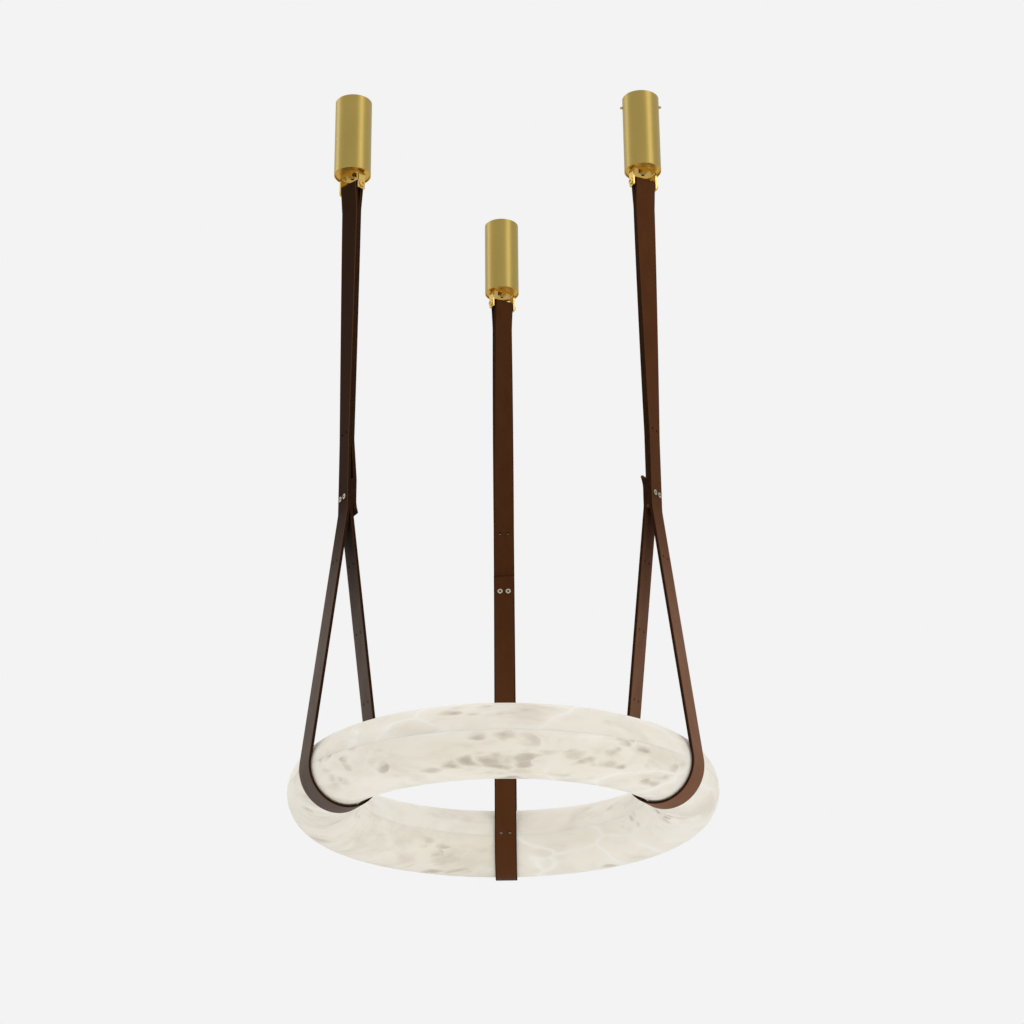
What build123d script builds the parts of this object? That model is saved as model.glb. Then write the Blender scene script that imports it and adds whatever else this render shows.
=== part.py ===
"""Pendant light: a hollow alabaster ring slung in three leather straps under three brass ceiling canisters.

Millimetres, +Z up. The origin is on the ceiling, midway between the three canisters.
"""

from build123d import *

import os
from math import acos, atan2, cos, degrees, hypot, radians, sin

# Where the three hangers stand, as degrees round the ring from +X
hangers = {"left": 210.0, "right": 330.0, "rear": 90.0}
feed_side = "right"

# How far each fork is turned on its nipple, in degrees, and which way round its pin is put in
fork_turns = {"left": 20.0, "right": -33.0, "rear": 30.0}
pin_turns = {"left": 0.0, "right": 180.0, "rear": 0.0}

# The alabaster ring, two half shells routed out inside
ring_outer_diameter = 600.0
tube_diameter = 98.0
cavity_width = 70.0
cavity_height = 66.0
cavity_corner = 24.0
joint_lip_height = 3.0
joint_lip_width = 4.0
joint_clearance = 0.2
seam_width = 0.6

# How it hangs
drop = 1054.0
sway_limit = 4.0

# Light source inside the ring
channel_width = 20.0
channel_height = 12.0
channel_wall = 1.5
strip_width = 12.0
strip_thickness = 0.6
chip_size = 5.0
chip_height = 1.2
chip_count = 60

# Canister, the cup that covers each ceiling fixing
canopy_diameter = 55.0
canopy_length = 127.0
canopy_wall = 1.5
canopy_floor = 3.0
floor_recess = 2.0
rim_rounding = 0.6
ceiling_gap = 0.5

# Ceiling base inside the canister, and the screws that hold the canister on it
base_height = 22.0
base_clearance = 0.3
ceiling_hole_radius = 3.25
ceiling_head_radius = 7.0
ceiling_head_depth = 9.0
wire_hole_radius = 3.5
wire_hole_offset = 15.0
cover_screw_radius = 2.0
cover_screw_length = 12.0
cover_screw_drop = 14.5
cover_screw_sunk = 0.3
cover_screw_proud = 3.5
cover_screw_point = 0.8
key_socket_radius = 1.1
key_socket_depth = 2.0
thread_clearance = 0.05

# Fork under the canister, its hollow nipple, nuts and washer
fork_thickness = 2.6
fork_width = 12.5
fork_bend_radius = 2.0
fork_corner_radius = 2.5
ear_end_length = 8.0
ear_clearance = 1.7
nipple_radius = 4.0
nipple_bore_radius = 2.5
nipple_overhang = 1.0
nipple_clearance = 0.2
nut_flats = 13.0
nut_height = 4.0
washer_radius = 9.0
washer_thickness = 1.2

# Cross pin and its clip
pin_drop = 21.0
pin_radius = 3.5
pin_fit = 0.05
pin_head_radius = 5.2
pin_head_height = 2.2
pin_end_length = 2.4
pin_socket_radius = 2.3
pin_socket_depth = 1.4
clip_groove_radius = 2.7
clip_rim = 2.6
clip_thickness = 0.8
clip_clearance = 0.1
clip_mouth = 4.6

# Leather straps
strap_width = 32.0
strap_thickness = 4.5
layer_gap = 0.3
loop_clearance = 0.4
wrap_clearance = 0.4
crown_skim = 0.1
neck_length = 42.0
splice_height = 400.0
splice_flat = 22.0
splice_end = 26.0
curl_start = 13.0
curl_depth = 3.4
layer_shift_length = 60.0
twist_start = 4.0
twist_margin = 8.0
twist_sections = 9
bend_radius = 60.0
hole_pitch = 100.0
hole_spacing = 12.6
hole_radius = 2.1
outer_hole_rows = 1
inner_hole_rows = 4
first_inner_rows = {"left": 1, "right": 1, "rear": 2}

# Screw posts through the splice
post_radius = 2.5
post_clearance = 0.1
screw_end_gap = 0.4
post_head_radius = 4.2
post_head_height = 1.5
post_head_rounding = 0.6
screw_radius = 1.6
screw_bore_clearance = 0.1
screw_length = 9.0
socket_radius = 2.0
socket_depth = 1.0

# Driver and terminal block in the feed canister
driver_width = 31.0
driver_depth = 25.0
driver_length = 66.0
driver_rounding = 2.5
flange_length = 44.0
flange_width = 18.0
flange_thickness = 2.5
driver_screw_spacing = 37.6
driver_screw_radius = 1.5
driver_screw_length = 9.0
driver_screw_head_radius = 2.6
driver_screw_head_height = 1.8
terminal_length = 22.0
terminal_width = 14.0
terminal_height = 11.0
terminal_bore_radius = 2.0
terminal_bore_spacing = 9.0

# Worked out from the sizes above
tube_radius = tube_diameter / 2
ring_radius = ring_outer_diameter / 2 - tube_radius
ring_level = -drop
canopy_radius = canopy_diameter / 2
canopy_bore_radius = canopy_radius - canopy_wall
base_radius = canopy_bore_radius - base_clearance
floor_bottom = -canopy_length + floor_recess
floor_top = floor_bottom + canopy_floor
web_bottom = floor_bottom - fork_thickness
pin_level = -canopy_length - pin_drop
ear_gap = strap_width + 2 * ear_clearance
fork_span = ear_gap + 2 * fork_thickness
layer_pitch = strap_thickness + layer_gap
loop_radius = pin_radius + loop_clearance + strap_thickness / 2
wrap_radius = tube_radius + wrap_clearance + strap_thickness / 2
splice_level = ring_level + splice_height
neck_level = pin_level - neck_length
twist_bottom = splice_level + splice_end + layer_shift_length + twist_start
twist_top = neck_level - twist_margin
splice_outer_face = layer_pitch / 2 + strap_thickness / 2
splice_inner_face = splice_outer_face - 2 * layer_pitch - strap_thickness
cavity_floor = ring_level - cavity_height / 2

os.makedirs("parts", exist_ok=True)


def compass(angle):
    """Level direction at an angle in degrees from +X."""
    return cos(radians(angle)), sin(radians(angle))


def hanger_place(azimuth, height):
    """Point on a hanger's plumb line."""
    x, y = compass(azimuth)
    return ring_radius * x, ring_radius * y, height


def level_plane(azimuth, height, turn=0):
    """Horizontal plane on a hanger's plumb line, with X pointing away from the middle of the ring."""
    x, y = compass(azimuth + turn)
    return Plane(origin=hanger_place(azimuth, height), x_dir=(x, y, 0), z_dir=(0, 0, 1))


def radial_plane(azimuth, turn=0):
    """Upright plane through a hanger, seen along the ring: X points outwards and Y up."""
    x, y = compass(azimuth + turn)
    return Plane(origin=hanger_place(azimuth, 0), x_dir=(x, y, 0), z_dir=(y, -x, 0))


def facing_plane(azimuth, turn=0):
    """Upright plane through a hanger, seen from outside: X runs along the ring and Y up."""
    x, y = compass(azimuth + turn)
    return Plane(origin=hanger_place(azimuth, 0), x_dir=(-y, x, 0), z_dir=(x, y, 0))


def hanger_axis(azimuth):
    """Plumb line through a hanger."""
    return Axis(hanger_place(azimuth, 0), (0, 0, 1))


def side_plane(azimuth):
    """Plane through a hanger's side screws, facing +X, at the height of the screws."""
    return Plane(origin=hanger_place(azimuth, -cover_screw_drop), x_dir=(0, 1, 0), z_dir=(1, 0, 0))


def save(piece, name):
    """Label a finished piece and write it."""
    piece.label = name
    export_step(piece, f"parts/{name}.step")


def driver_screw_pair():
    """Places of the driver's two screws on a hanger's level plane."""
    return [(0, -driver_screw_spacing / 2), (0, driver_screw_spacing / 2)]


def make_ceiling_base(azimuth, holds_driver):
    """Turned plug that is bolted to the ceiling, fills the top of the canister and may carry the driver."""
    with BuildPart() as base:
        with BuildSketch(level_plane(azimuth, 0)):
            Circle(base_radius)
        extrude(amount=-base_height)
        with BuildSketch(level_plane(azimuth, 0)):
            Circle(ceiling_hole_radius)
        extrude(amount=-base_height, mode=Mode.SUBTRACT)
        with BuildSketch(level_plane(azimuth, -base_height)):
            Circle(ceiling_head_radius)
        extrude(amount=ceiling_head_depth, mode=Mode.SUBTRACT)
        with BuildSketch(level_plane(azimuth, 0)):
            with Locations((wire_hole_offset, 0)):
                Circle(wire_hole_radius)
        extrude(amount=-base_height, mode=Mode.SUBTRACT)
        with BuildSketch(side_plane(azimuth).offset(ceiling_head_radius)):
            Circle(cover_screw_radius + thread_clearance)
        extrude(amount=base_radius, mode=Mode.SUBTRACT)
        with BuildSketch(side_plane(azimuth).offset(-ceiling_head_radius)):
            Circle(cover_screw_radius + thread_clearance)
        extrude(amount=-base_radius, mode=Mode.SUBTRACT)
        if holds_driver:
            with BuildSketch(level_plane(azimuth, -base_height)):
                with Locations(*driver_screw_pair()):
                    Circle(driver_screw_radius + thread_clearance)
            extrude(amount=driver_screw_length - flange_thickness + screw_end_gap, mode=Mode.SUBTRACT)
    return base.part


def make_canopy(azimuth):
    """Spun brass cup with a floor set back inside its lower rim."""
    bore = nipple_radius + nipple_clearance
    with BuildPart() as canopy:
        with BuildSketch(radial_plane(azimuth)):
            with BuildLine():
                Polyline(
                    (canopy_bore_radius, -ceiling_gap),
                    (canopy_radius, -ceiling_gap),
                    (canopy_radius, -canopy_length),
                    (canopy_bore_radius, -canopy_length),
                    (canopy_bore_radius, floor_bottom),
                    (bore, floor_bottom),
                    (bore, floor_top),
                    (canopy_bore_radius, floor_top),
                    close=True,
                )
            make_face()
        revolve(axis=hanger_axis(azimuth))
        rims = canopy.edges().group_by(Axis.Z)[0]
        fillet(rims, rim_rounding)
        with BuildSketch(side_plane(azimuth)):
            Circle(cover_screw_radius + thread_clearance)
        extrude(amount=canopy_diameter, both=True, mode=Mode.SUBTRACT)
    return canopy.part


def make_cover_screws(azimuth, proud):
    """Pair of socket grub screws, driven from both sides through the canister into its base."""
    with BuildPart() as screws:
        for side in (1, -1):
            outer_end = side * (canopy_radius + proud)
            with BuildSketch(side_plane(azimuth).offset(outer_end)):
                Circle(cover_screw_radius)
            extrude(amount=-side * cover_screw_length)
        ends = screws.faces().filter_by(Axis.X).edges()
        chamfer(ends, cover_screw_point)
        for side in (1, -1):
            outer_end = side * (canopy_radius + proud)
            with BuildSketch(side_plane(azimuth).offset(outer_end)):
                RegularPolygon(key_socket_radius, 6)
            extrude(amount=-side * key_socket_depth, mode=Mode.SUBTRACT)
    return screws.part


def make_fork(azimuth, turn):
    """Flat strip bent to a U, with two ears for the cross pin and a hole in the web."""
    half_span = (ear_gap + fork_thickness) / 2
    web_middle = floor_bottom - fork_thickness / 2
    tip = pin_level - ear_end_length
    along = facing_plane(azimuth, turn).x_dir
    with BuildPart() as fork:
        with BuildSketch(facing_plane(azimuth, turn)):
            with BuildLine():
                FilletPolyline(
                    (-half_span, tip),
                    (-half_span, web_middle),
                    (half_span, web_middle),
                    (half_span, tip),
                    radius=fork_bend_radius + fork_thickness / 2,
                )
            trace(line_width=fork_thickness)
        extrude(amount=fork_width / 2, both=True)
        corners = fork.edges().filter_by(Axis((0, 0, 0), along)).group_by(Axis.Z)[0]
        fillet(corners, fork_corner_radius)
        with BuildSketch(radial_plane(azimuth, turn)):
            with Locations((0, pin_level)):
                Circle(pin_radius + pin_fit)
        extrude(amount=fork_span, both=True, mode=Mode.SUBTRACT)
        with BuildSketch(level_plane(azimuth, floor_bottom)):
            Circle(nipple_radius + nipple_clearance)
        extrude(amount=-fork_thickness, mode=Mode.SUBTRACT)
    return fork.part


def make_nipple(azimuth):
    """Hollow threaded tube that clamps the fork to the canister floor and lets the wires through."""
    upper_end = floor_top + washer_thickness + nut_height + nipple_overhang
    lower_end = web_bottom - nut_height - nipple_overhang
    with BuildPart() as nipple:
        with BuildSketch(level_plane(azimuth, lower_end)):
            Circle(nipple_radius)
            Circle(nipple_bore_radius, mode=Mode.SUBTRACT)
        extrude(amount=upper_end - lower_end)
    return nipple.part


def make_nipple_nuts(azimuth):
    """Two thin hexagon nuts, one inside the canister and one under the fork's web."""
    with BuildPart() as nuts:
        for bottom in (floor_top + washer_thickness, web_bottom - nut_height):
            with BuildSketch(level_plane(azimuth, bottom)):
                RegularPolygon(nut_flats / 2, 6, major_radius=False)
                Circle(nipple_radius + thread_clearance, mode=Mode.SUBTRACT)
            extrude(amount=nut_height)
    return nuts.part


def make_nipple_washer(azimuth):
    """Plain washer between the upper nut and the canister floor."""
    with BuildPart() as washer:
        with BuildSketch(level_plane(azimuth, floor_top)):
            Circle(washer_radius)
            Circle(nipple_radius + nipple_clearance, mode=Mode.SUBTRACT)
        extrude(amount=washer_thickness)
    return washer.part


def pin_plane(azimuth, turn, along):
    """Plane square to the cross pin, centred on it, at a distance along the pin."""
    plane = radial_plane(azimuth, turn).offset(along)
    return plane.shift_origin(plane.from_local_coords((0, pin_level)))


def make_strap_pin(azimuth, turn):
    """Cross pin with a domed socket head on one ear and a clip groove past the other."""
    groove_start = fork_span / 2 + clip_clearance
    groove_width = clip_thickness + 2 * clip_clearance
    with BuildPart() as pin:
        with BuildSketch(pin_plane(azimuth, turn, -fork_span / 2)):
            Circle(pin_radius)
        extrude(amount=fork_span + clip_clearance + groove_width + pin_end_length)
        with BuildSketch(pin_plane(azimuth, turn, -fork_span / 2)):
            Circle(pin_head_radius)
        extrude(amount=-pin_head_height)
        outer_face = pin.faces().sort_by(Axis((0, 0, 0), radial_plane(azimuth, turn).z_dir))[0]
        fillet(outer_face.edges(), pin_head_height / 2)
        with BuildSketch(pin_plane(azimuth, turn, -fork_span / 2 - pin_head_height)):
            RegularPolygon(pin_socket_radius, 6)
        extrude(amount=pin_socket_depth, mode=Mode.SUBTRACT)
        with BuildSketch(pin_plane(azimuth, turn, groove_start)):
            Circle(pin_radius)
            Circle(clip_groove_radius, mode=Mode.SUBTRACT)
        extrude(amount=groove_width, mode=Mode.SUBTRACT)
    return pin.part


def make_pin_clip(azimuth, turn):
    """Spring clip, open on one side, in the groove of the cross pin."""
    inner_radius = clip_groove_radius + clip_clearance
    outer_radius = inner_radius + clip_rim
    with BuildPart() as clip:
        with BuildSketch(pin_plane(azimuth, turn, fork_span / 2 + 2 * clip_clearance)):
            Circle(outer_radius)
            Circle(inner_radius, mode=Mode.SUBTRACT)
            with Locations((0, -outer_radius)):
                Rectangle(clip_mouth, 2 * outer_radius, mode=Mode.SUBTRACT)
        extrude(amount=clip_thickness)
    return clip.part


def tangent_angle(radius, away, side):
    """Degrees round a circle, from its X axis, where a line from a point outside it touches.

    away is the point as seen from the circle's centre. side is +1 to go clockwise from it, -1 to go back.
    """
    return degrees(atan2(away[1], away[0]) - side * acos(radius / hypot(*away)))


def on_circle(centre, radius, angle):
    """Point on a circle at an angle in degrees."""
    return (centre[0] + radius * cos(radians(angle)), centre[1] + radius * sin(radians(angle)))


def make_spool(azimuth, turn, centre_level, radius, flare):
    """Roller across a strap, flared from its waist to both ends: the room that the strap needs to tilt."""
    half = strap_width / 2 + strap_thickness
    waist_level = centre_level + radius + crown_skim
    end_level = waist_level + half * flare
    with BuildPart() as roller:
        with BuildSketch(facing_plane(azimuth, turn)):
            with BuildLine():
                Polyline(
                    (0, waist_level),
                    (-half, end_level),
                    (-half, centre_level),
                    (half, centre_level),
                    (half, end_level),
                    close=True,
                )
            make_face()
        middle = hanger_place(azimuth, centre_level)
        revolve(axis=Axis(middle, facing_plane(azimuth, turn).x_dir))
    return roller.part


def make_hole_pair(azimuth, point, direction, radius, turn=0):
    """Two pegs side by side, square to a strap that runs through a point of its upright plane."""
    upright = radial_plane(azimuth, turn)
    normal = upright.from_local_coords((direction[1], -direction[0], 0)) - upright.origin
    across = facing_plane(azimuth, turn).x_dir
    hole_plane = Plane(origin=upright.from_local_coords((*point, 0)), x_dir=across, z_dir=normal)
    with BuildPart() as pegs:
        with BuildSketch(hole_plane):
            with Locations((-hole_spacing / 2, 0), (hole_spacing / 2, 0)):
                Circle(radius)
        extrude(amount=2 * layer_pitch, both=True)
    return pegs.part


def strand_holes(azimuth, start, touch_angle, first_row, rows):
    """Pegs for rows of adjusting holes down a strand, counted in hole pitches from the splice screws.

    A row that falls past the point where the strand touches the tube follows the curve of the tube.
    """
    end = on_circle((0, ring_level), wrap_radius, touch_angle)
    length = hypot(end[0] - start[0], end[1] - start[1])
    pegs = []
    for row in range(first_row, rows + 1):
        run = row * hole_pitch - splice_flat
        direction = ((end[0] - start[0]) / length, (end[1] - start[1]) / length)
        point = (start[0] + run * direction[0], start[1] + run * direction[1])
        if run > length:
            angle = touch_angle + degrees((run - length) / wrap_radius)
            direction = (-sin(radians(angle)), cos(radians(angle)))
            point = on_circle((0, ring_level), wrap_radius, angle)
        pegs.append(make_hole_pair(azimuth, point, direction, hole_radius))
    return pegs


def twist_share(height):
    """Share of the fork's turn that a strap has taken up at a height: it turns evenly."""
    return (height - twist_bottom) / (twist_top - twist_bottom)


def twist_planes(azimuth, turn):
    """Level planes up the twisted stretch of a strap."""
    planes = []
    for step in range(twist_sections):
        height = twist_bottom + (twist_top - twist_bottom) * step / (twist_sections - 1)
        planes.append(level_plane(azimuth, height, turn * twist_share(height)))
    return planes


def make_strap(azimuth, turn, first_inner_row, tail_inside):
    """One leather strap: folded over the pin, doubled down to the splice, then slung under the tube.

    The outer layer runs unbroken from the pin to the ring. The upper tail and the lower end meet it at the
    splice, where tail_inside puts the upper tail innermost, and otherwise the lower end is innermost.
    The innermost one curls away at its tip. Between the splice and the fork both layers twist by the turn
    of the fork.
    """
    pin_centre = (0, pin_level)
    tube_centre = (0, ring_level)
    outer_x = layer_pitch / 2
    middle_x = outer_x - layer_pitch
    inner_x = middle_x - layer_pitch
    end_x = middle_x if tail_inside else inner_x
    part_level = splice_level - splice_flat
    outer_part = (outer_x, part_level)
    inner_part = (end_x, part_level)

    loop_start = tangent_angle(loop_radius, (middle_x, -neck_length), 1)
    loop_end = tangent_angle(loop_radius, (outer_x, -neck_length), -1)
    outer_touch = tangent_angle(wrap_radius, (outer_x, part_level - ring_level), 1)
    inner_touch = tangent_angle(wrap_radius, (end_x, part_level - ring_level), -1)

    below = splice_level - splice_end
    above = splice_level + splice_end
    inner_side = on_circle(tube_centre, wrap_radius, inner_touch)
    if tail_inside:
        tail_run = [
            (inner_x - curl_depth, below),
            (inner_x, splice_level - curl_start),
            (inner_x, above),
            (middle_x, above + layer_shift_length),
            (middle_x, twist_bottom),
        ]
        end_run = [inner_side, inner_part, (middle_x, above)]
    else:
        tail_run = [(middle_x, below), (middle_x, twist_bottom)]
        end_run = [
            inner_side,
            inner_part,
            (inner_x, splice_level + curl_start),
            (inner_x - curl_depth, above),
        ]
    spare_level = splice_level + hole_pitch
    spare_turn = turn * twist_share(spare_level)

    tilt_flare = sin(radians(sway_limit))
    ring_flare = strap_width / 4 / (ring_radius - tube_radius)
    cutters = [
        make_spool(azimuth, turn, pin_level, pin_radius + loop_clearance, tilt_flare),
        make_spool(azimuth, 0, ring_level, tube_radius + wrap_clearance, hypot(tilt_flare, ring_flare)),
        make_hole_pair(azimuth, (middle_x, splice_level), (0, -1), post_radius + post_clearance),
        make_hole_pair(azimuth, (middle_x, spare_level), (0, -1), hole_radius, spare_turn),
    ]
    cutters += strand_holes(azimuth, outer_part, outer_touch, 1, outer_hole_rows)
    cutters += strand_holes(azimuth, inner_part, inner_touch, first_inner_row, inner_hole_rows)

    with BuildPart() as strap:
        with BuildSketch(radial_plane(azimuth, turn)):
            with BuildLine():
                FilletPolyline(
                    (middle_x, twist_top),
                    (middle_x, neck_level),
                    on_circle(pin_centre, loop_radius, loop_start),
                    radius=bend_radius,
                )
                CenterArc(pin_centre, loop_radius, loop_start, loop_end - loop_start - 360)
                FilletPolyline(
                    on_circle(pin_centre, loop_radius, loop_end),
                    (outer_x, neck_level),
                    (outer_x, twist_top),
                    radius=bend_radius,
                )
            trace(line_width=strap_thickness)
        extrude(amount=strap_width / 2, both=True)
        for layer_x in (middle_x, outer_x):
            with BuildSketch(*twist_planes(azimuth, turn)):
                with Locations((layer_x, 0)):
                    Rectangle(strap_thickness, strap_width)
            loft()
        with BuildSketch(radial_plane(azimuth)):
            with BuildLine():
                if tail_inside:
                    FilletPolyline(*tail_run, radius=bend_radius)
                else:
                    Line(*tail_run)
            with BuildLine():
                FilletPolyline(
                    (outer_x, twist_bottom),
                    outer_part,
                    on_circle(tube_centre, wrap_radius, outer_touch),
                    radius=bend_radius,
                )
                CenterArc(tube_centre, wrap_radius, outer_touch, inner_touch - outer_touch - 360)
                FilletPolyline(*end_run, radius=bend_radius)
            trace(line_width=strap_thickness)
        extrude(amount=strap_width / 2, both=True)
        for cutter in cutters:
            add(cutter, mode=Mode.SUBTRACT)
    return strap.part


def splice_pair():
    """Places of the two screw posts on a hanger's facing plane."""
    return [(-hole_spacing / 2, splice_level), (hole_spacing / 2, splice_level)]


def make_strap_posts(azimuth):
    """Two hollow posts with round heads on the outer face of the splice."""
    outer = facing_plane(azimuth).offset(splice_outer_face)
    inner_end = splice_inner_face + screw_end_gap
    with BuildPart() as posts:
        with BuildSketch(outer):
            with Locations(*splice_pair()):
                Circle(post_head_radius)
        extrude(amount=post_head_height)
        heads = posts.faces().filter_by(outer).group_by(Axis((0, 0, 0), outer.z_dir))[-1]
        fillet(heads.edges(), post_head_rounding)
        with BuildSketch(outer):
            with Locations(*splice_pair()):
                Circle(post_radius)
        extrude(amount=inner_end - splice_outer_face)
        with BuildSketch(facing_plane(azimuth).offset(inner_end)):
            with Locations(*splice_pair()):
                Circle(screw_radius + screw_bore_clearance)
        extrude(amount=screw_length, mode=Mode.SUBTRACT)
        with BuildSketch(outer.offset(post_head_height)):
            with Locations(*splice_pair()):
                RegularPolygon(socket_radius, 6)
        extrude(amount=-socket_depth, mode=Mode.SUBTRACT)
    return posts.part


def make_strap_screws(azimuth):
    """Two screws with round heads on the inner face of the splice, driven into the posts."""
    inner = facing_plane(azimuth).offset(splice_inner_face)
    with BuildPart() as screws:
        with BuildSketch(inner):
            with Locations(*splice_pair()):
                Circle(post_head_radius)
        extrude(amount=-post_head_height)
        heads = screws.faces().filter_by(inner).group_by(Axis((0, 0, 0), inner.z_dir))[0]
        fillet(heads.edges(), post_head_rounding)
        with BuildSketch(inner):
            with Locations(*splice_pair()):
                Circle(screw_radius)
        extrude(amount=screw_length)
        with BuildSketch(inner.offset(-post_head_height)):
            with Locations(*splice_pair()):
                RegularPolygon(socket_radius, 6)
        extrude(amount=socket_depth, mode=Mode.SUBTRACT)
    return screws.part


def make_ring_half(upper):
    """Half of the alabaster tube: routed out inside, with a lip that locates the other half."""
    keep = Align.MIN if upper else Align.MAX
    lip_middle = cavity_width / 2 + joint_lip_width / 2
    groove = joint_clearance if upper else 0
    lip_mode = Mode.SUBTRACT if upper else Mode.ADD
    with BuildPart() as half:
        with BuildSketch(Plane.XZ):
            with Locations((ring_radius, ring_level)):
                Circle(tube_radius)
                Rectangle(tube_diameter, tube_diameter, align=(Align.CENTER, keep), mode=Mode.INTERSECT)
                RectangleRounded(cavity_width, cavity_height, cavity_corner, mode=Mode.SUBTRACT)
                with Locations((-tube_radius, 0), (tube_radius, 0)):
                    Rectangle(seam_width, seam_width, rotation=45, mode=Mode.SUBTRACT)
                with Locations((-lip_middle, 0), (lip_middle, 0)):
                    lip_width = joint_lip_width + 2 * groove
                    lip_height = joint_lip_height + groove
                    Rectangle(lip_width, lip_height, align=(Align.CENTER, Align.MIN), mode=lip_mode)
        revolve(axis=Axis.Z)
    return half.part


def make_led_channel():
    """Rolled aluminium channel on the floor of the lower half."""
    with BuildPart() as channel:
        with BuildSketch(Plane.XZ):
            with Locations((ring_radius, cavity_floor)):
                Rectangle(channel_width, channel_height, align=(Align.CENTER, Align.MIN))
            with Locations((ring_radius, cavity_floor + channel_wall)):
                inside = channel_width - 2 * channel_wall
                Rectangle(inside, channel_height, align=(Align.CENTER, Align.MIN), mode=Mode.SUBTRACT)
        revolve(axis=Axis.Z)
    return channel.part


def make_led_strip():
    """Flat strip round the floor of the channel."""
    with BuildPart() as strip:
        with BuildSketch(Plane.XZ):
            with Locations((ring_radius, cavity_floor + channel_wall)):
                Rectangle(strip_width, strip_thickness, align=(Align.CENTER, Align.MIN))
        revolve(axis=Axis.Z)
    return strip.part


def make_led_chips():
    """Chips in a row on top of the strip."""
    with BuildPart() as chips:
        with BuildSketch(Plane.XY.offset(cavity_floor + channel_wall + strip_thickness)):
            with PolarLocations(ring_radius, chip_count):
                Rectangle(chip_size, chip_size)
        extrude(amount=chip_height)
    return chips.part


def make_driver(azimuth):
    """Potted driver with a flange that screws to the underside of the ceiling base."""
    with BuildPart() as driver:
        with BuildSketch(level_plane(azimuth, -base_height)):
            RectangleRounded(driver_depth, driver_width, driver_rounding)
        extrude(amount=-driver_length)
        lower_edges = driver.edges().group_by(Axis.Z)[0]
        fillet(lower_edges, driver_rounding / 2)
        with BuildSketch(level_plane(azimuth, -base_height)):
            RectangleRounded(flange_width, flange_length, driver_rounding)
        extrude(amount=-flange_thickness)
        with BuildSketch(level_plane(azimuth, -base_height)):
            with Locations(*driver_screw_pair()):
                Circle(driver_screw_radius + thread_clearance)
        extrude(amount=-flange_thickness, mode=Mode.SUBTRACT)
    return driver.part


def make_driver_screws(azimuth):
    """Two small screws through the driver's flange into the ceiling base."""
    head_seat = level_plane(azimuth, -base_height - flange_thickness)
    with BuildPart() as screws:
        with BuildSketch(head_seat):
            with Locations(*driver_screw_pair()):
                Circle(driver_screw_head_radius)
        extrude(amount=-driver_screw_head_height)
        with BuildSketch(head_seat):
            with Locations(*driver_screw_pair()):
                Circle(driver_screw_radius)
        extrude(amount=driver_screw_length)
    return screws.part


def make_terminal_block(azimuth):
    """Two-way terminal block on the lower end of the driver."""
    top = level_plane(azimuth, -base_height - driver_length)
    with BuildPart() as block:
        with BuildSketch(top):
            RectangleRounded(terminal_width, terminal_length, driver_rounding / 2)
        extrude(amount=-terminal_height)
        with BuildSketch(facing_plane(azimuth)):
            middle = -base_height - driver_length - terminal_height / 2
            with Locations((-terminal_bore_spacing / 2, middle), (terminal_bore_spacing / 2, middle)):
                Circle(terminal_bore_radius)
        extrude(amount=terminal_width, both=True, mode=Mode.SUBTRACT)
    return block.part


for side, azimuth in hangers.items():
    proud = cover_screw_proud if side == feed_side else -cover_screw_sunk
    turn = fork_turns[side]
    pin_turn = turn + pin_turns[side]
    save(make_ceiling_base(azimuth, holds_driver=side == feed_side), f"{side}_ceiling_base")
    save(make_canopy(azimuth), f"{side}_canopy")
    save(make_cover_screws(azimuth, proud), f"{side}_canopy_screws")
    save(make_nipple(azimuth), f"{side}_nipple")
    save(make_nipple_nuts(azimuth), f"{side}_nipple_nuts")
    save(make_nipple_washer(azimuth), f"{side}_nipple_washer")
    save(make_fork(azimuth, turn), f"{side}_fork")
    save(make_strap_pin(azimuth, pin_turn), f"{side}_strap_pin")
    save(make_pin_clip(azimuth, pin_turn), f"{side}_pin_clip")
    save(make_strap(azimuth, turn, first_inner_rows[side], tail_inside=side == "left"), f"{side}_strap")
    save(make_strap_posts(azimuth), f"{side}_strap_posts")
    save(make_strap_screws(azimuth), f"{side}_strap_screws")

save(make_driver(hangers[feed_side]), "led_driver")
save(make_driver_screws(hangers[feed_side]), "driver_screws")
save(make_terminal_block(hangers[feed_side]), "terminal_block")
save(make_ring_half(upper=True), "ring_upper")
save(make_ring_half(upper=False), "ring_lower")
save(make_led_channel(), "led_channel")
save(make_led_strip(), "led_strip")
save(make_led_chips(), "led_chips")
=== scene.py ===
"""Looks of the ring pendant: three brass canisters, three leather straps and an alabaster ring.

Metres, +Z up, the origin on the ceiling midway between the canisters, the viewer on the -Y side.
"""

from math import acos, atan2, ceil, cos, hypot, pi, radians, sin, sqrt

import bmesh
import bpy
from mathutils import Matrix, Vector


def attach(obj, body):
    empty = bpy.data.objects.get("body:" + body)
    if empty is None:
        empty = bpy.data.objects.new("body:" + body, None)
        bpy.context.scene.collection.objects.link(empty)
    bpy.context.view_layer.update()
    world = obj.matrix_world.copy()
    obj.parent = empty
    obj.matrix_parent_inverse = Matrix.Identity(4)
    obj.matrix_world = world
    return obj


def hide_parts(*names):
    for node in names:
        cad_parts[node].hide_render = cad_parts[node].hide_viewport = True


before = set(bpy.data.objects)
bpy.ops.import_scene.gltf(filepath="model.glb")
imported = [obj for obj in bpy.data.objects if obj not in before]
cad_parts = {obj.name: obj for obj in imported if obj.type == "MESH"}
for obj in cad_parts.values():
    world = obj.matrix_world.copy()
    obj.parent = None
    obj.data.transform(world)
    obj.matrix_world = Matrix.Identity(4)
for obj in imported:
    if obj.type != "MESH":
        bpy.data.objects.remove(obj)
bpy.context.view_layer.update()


# Ceiling bases: a plug of cast zinc, turned all over, in the top of each canister.
# One bolt through its middle holds it to the ceiling, and the lathe leaves fine rings on it.

hangers = {"left": 210.0, "right": 330.0, "rear": 90.0}


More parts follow.
